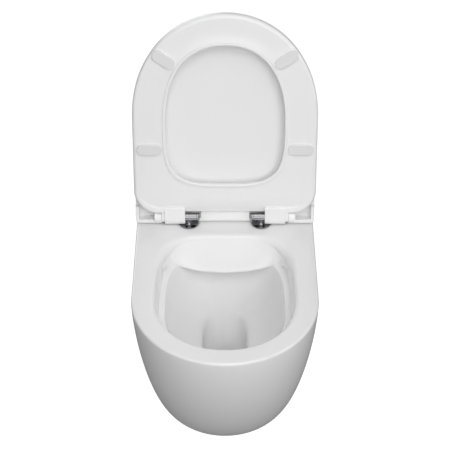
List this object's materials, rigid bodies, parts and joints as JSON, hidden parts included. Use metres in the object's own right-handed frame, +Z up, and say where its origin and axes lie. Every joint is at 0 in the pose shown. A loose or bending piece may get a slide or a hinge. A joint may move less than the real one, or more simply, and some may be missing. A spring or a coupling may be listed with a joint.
{
  "type": "wall hung toilet",
  "caption": "Wall hung toilet with a rimless glazed bowl, shown with its D-shaped seat and lid raised on top-fixed chrome hinges.",
  "frame": {"origin": "midway between the two wall fixing holes, on the wall face", "axes": "+Z up; +Y into the wall, so that the bowl stands out along -Y; X across, with x = 0 the plane of symmetry"},
  "size_m": [0.371, 0.5399, 0.8024],
  "materials": {
    "ceramic": "gloss glaze",
    "duroplast": "gloss",
    "buffer": "satin, slightly translucent",
    "chrome": "polished",
    "steel": "plain",
    "gasket": "satin",
    "rubber": "matte",
    "plastic": "satin"
  },
  "bodies": {
    "bowl": {"ceramic_bowl": "ceramic", "expansion_plug_left": "rubber", "expansion_plug_right": "rubber", "hinge_gasket_left": "gasket", "hinge_gasket_right": "gasket", "hinge_pin_left": "chrome", "hinge_pin_right": "chrome", "hinge_rosette_left": "chrome", "hinge_rosette_right": "chrome", "hinge_stud_left": "steel", "hinge_stud_right": "steel", "inlet_seal": "rubber", "plug_nut_left": "steel", "plug_nut_right": "steel", "side_cap_left": "plastic", "side_cap_right": "plastic", "side_screw_left": "steel", "side_screw_right": "steel", "side_sleeve_left": "plastic", "side_sleeve_right": "plastic", "wall_bracket_left": "steel", "wall_bracket_right": "steel"},
    "seat": {"seat_ring": "duroplast", "hinge_block_left": "duroplast", "damper_left": "plastic", "seat_buffer_back_left": "buffer", "seat_buffer_front_left": "buffer", "hinge_block_right": "duroplast", "damper_right": "plastic", "seat_buffer_back_right": "buffer", "seat_buffer_front_right": "buffer"},
    "lid": {"lid": "duroplast", "lid_bush_left": "plastic", "lid_buffer_back_left": "buffer", "lid_buffer_front_left": "buffer", "lid_bush_right": "plastic", "lid_buffer_back_right": "buffer", "lid_buffer_front_right": "buffer"}
  },
  "joints": [
    {"name": "seat_hinge", "type": "hinge", "parent": "bowl", "child": "seat", "pos_m": [0, -0.0975, 0.097], "axis": [1, 0, 0], "range_deg": [0, 98]},
    {"name": "lid_hinge", "type": "hinge", "parent": "bowl", "child": "lid", "pos_m": [0, -0.0975, 0.097], "axis": [1, 0, 0], "range_deg": [0, 98]}
  ],
  "couplings": [
    {"joint": "lid_hinge", "follows": "seat_hinge", "ratio": 1}
  ]
}
